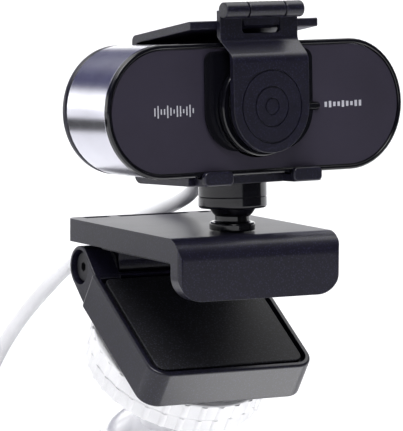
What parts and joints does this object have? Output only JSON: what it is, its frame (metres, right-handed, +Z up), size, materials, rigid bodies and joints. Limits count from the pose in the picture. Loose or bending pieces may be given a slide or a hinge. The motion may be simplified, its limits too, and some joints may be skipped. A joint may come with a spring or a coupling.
{
  "type": "webcam on tripod",
  "caption": "Wide webcam with a flip-up privacy cover, held by a cradle and ball joint on a folding clip, on a small desktop tripod with a tilting head; coiled lead with plug.",
  "frame": {"origin": "on the table, under the middle of the box round the object without its lead", "axes": "+Z up, the lens looks along -Y, +X to the right of someone who faces the lens"},
  "size_m": [0.1877, 0.1994, 0.1842],
  "materials": {
    "black_plastic": "fine moulded grain, slightly satin",
    "gloss_black": "polished",
    "panel": "matte, very dark violet grey",
    "shell": "satin metallic lacquer",
    "grip_rubber": "pebbled",
    "lens_glass": "coated",
    "light_pipe": "smoked clear",
    "board": "solder mask",
    "steel": "zinc plated",
    "brass": "turned",
    "nylon": "smooth",
    "stand_plastic": "satin pale grey",
    "stand_rubber": "matte pale grey",
    "ball_metal": "bright satin",
    "cable_grey": "smooth pale grey jacket",
    "tie": "woven hook and loop tape",
    "plug_metal": "nickel plated"
  },
  "bodies": {
    "stand": {"tripod_hub": "stand_plastic", "leg_pin_front": "steel", "leg_pin_right": "steel", "leg_pin_left": "steel", "head_socket": "stand_plastic", "socket_cap": "stand_plastic", "usb_cord": "cable_grey", "cord_coil": "cable_grey", "cord_tie": "tie", "plug_body": "cable_grey", "plug_shell": "plug_metal"},
    "leg_front": {"leg_front": "stand_plastic", "foot_front": "stand_rubber"},
    "leg_right": {"leg_right": "stand_plastic", "foot_right": "stand_rubber"},
    "leg_left": {"leg_left": "stand_plastic", "foot_left": "stand_rubber"},
    "clamp": {"clamp_knob": "stand_plastic", "clamp_screw": "steel"},
    "seat": {"ball_seat": "stand_rubber"},
    "head": {"head_ball": "ball_metal", "head_platform": "stand_plastic", "mounting_screw": "steel"},
    "ring": {"lock_ring": "stand_plastic", "platform_pad": "stand_rubber"},
    "lower_jaw": {"lower_jaw": "black_plastic", "lower_jaw_base": "black_plastic", "grip_pad": "grip_rubber", "thread_insert": "brass", "hinge_pin": "steel", "hinge_nut": "steel", "friction_washer_left": "nylon", "friction_washer_right": "nylon"},
    "upper_jaw": {"upper_jaw": "black_plastic", "upper_pad": "grip_rubber"},
    "stud": {"ball_stud": "gloss_black", "stud_screw": "steel"},
    "liner": {"socket_liner": "nylon"},
    "webcam": {"cradle_bracket": "black_plastic", "front_bezel": "gloss_black", "front_panel": "panel", "lens_surround": "gloss_black", "lens_housing": "gloss_black", "lens_barrel": "black_plastic", "front_lens": "lens_glass", "lens_holder": "black_plastic", "image_sensor": "gloss_black", "circuit_board": "board", "board_screw_left": "steel", "board_screw_right": "steel", "microphone": "steel", "indicator_light": "light_pipe", "body_shell": "shell", "rear_cover": "black_plastic", "rear_screw_left": "steel", "rear_screw_right": "steel", "strain_relief": "cable_grey", "cover_pin": "steel"},
    "cover": {"privacy_cover": "black_plastic"}
  },
  "joints": [
    {"name": "leg_front_fold", "type": "hinge", "parent": "stand", "child": "leg_front", "pos_m": [0, 0.00851, 0.037], "axis": [1, 0, 0], "range_deg": [0, 60]},
    {"name": "leg_right_fold", "type": "hinge", "parent": "stand", "child": "leg_right", "pos_m": [0.00953, 0.02501, 0.037], "axis": [-0.5, 0.866, 0], "range_deg": [0, 60]},
    {"name": "leg_left_fold", "type": "hinge", "parent": "stand", "child": "leg_left", "pos_m": [-0.00953, 0.02501, 0.037], "axis": [-0.5, -0.866, 0], "range_deg": [0, 60]},
    {"name": "clamp_turn", "type": "hinge", "parent": "stand", "child": "clamp", "pos_m": [-0.03, 0.01951, 0.0574], "axis": [1, 0, 0], "continuous": true},
    {"name": "head_tilt", "type": "hinge", "parent": "stand", "child": "seat", "pos_m": [0, 0.01951, 0.064], "axis": [1, 0, 0], "range_deg": [-78, 11], "deforming": ["usb_cord"]},
    {"name": "head_lean", "type": "hinge", "parent": "seat", "child": "head", "pos_m": [0, 0.01951, 0.064], "axis": [0, 0.8305, 0.557], "range_deg": [-18, 18], "deforming": ["usb_cord"]},
    {"name": "ring_turn", "type": "hinge", "parent": "head", "child": "ring", "pos_m": [0, 0.01951, 0.064], "axis": [0, -0.557, 0.8305], "continuous": true},
    {"name": "head_pan", "type": "hinge", "parent": "head", "child": "lower_jaw", "pos_m": [0, 0.01951, 0.064], "axis": [0, -0.557, 0.8305], "range_deg": [-90, 90], "deforming": ["usb_cord"]},
    {"name": "clip_open", "type": "hinge", "parent": "lower_jaw", "child": "upper_jaw", "pos_m": [0, 0.01298, 0.11412], "axis": [-1, 0, 0], "range_deg": [-34, 80], "deforming": ["usb_cord"]},
    {"name": "webcam_pan", "type": "hinge", "parent": "upper_jaw", "child": "stud", "pos_m": [0, -0.02513, 0.13462], "axis": [0, 0, 1], "range_deg": [-90, 90], "deforming": ["usb_cord"]},
    {"name": "webcam_nod", "type": "hinge", "parent": "stud", "child": "liner", "pos_m": [0, -0.02513, 0.13462], "axis": [0.9949, 0.1011, 0], "range_deg": [-22, 22], "deforming": ["usb_cord"]},
    {"name": "webcam_roll", "type": "hinge", "parent": "liner", "child": "webcam", "pos_m": [0, -0.02513, 0.13462], "axis": [-0.101, 0.9939, -0.0436], "range_deg": [-15, 15], "deforming": ["usb_cord"]},
    {"name": "cover_flip", "type": "hinge", "parent": "webcam", "child": "cover", "pos_m": [0.00119, -0.03686, 0.18214], "axis": [-0.9949, -0.1011, 0], "range_deg": [0, 250]}
  ]
}
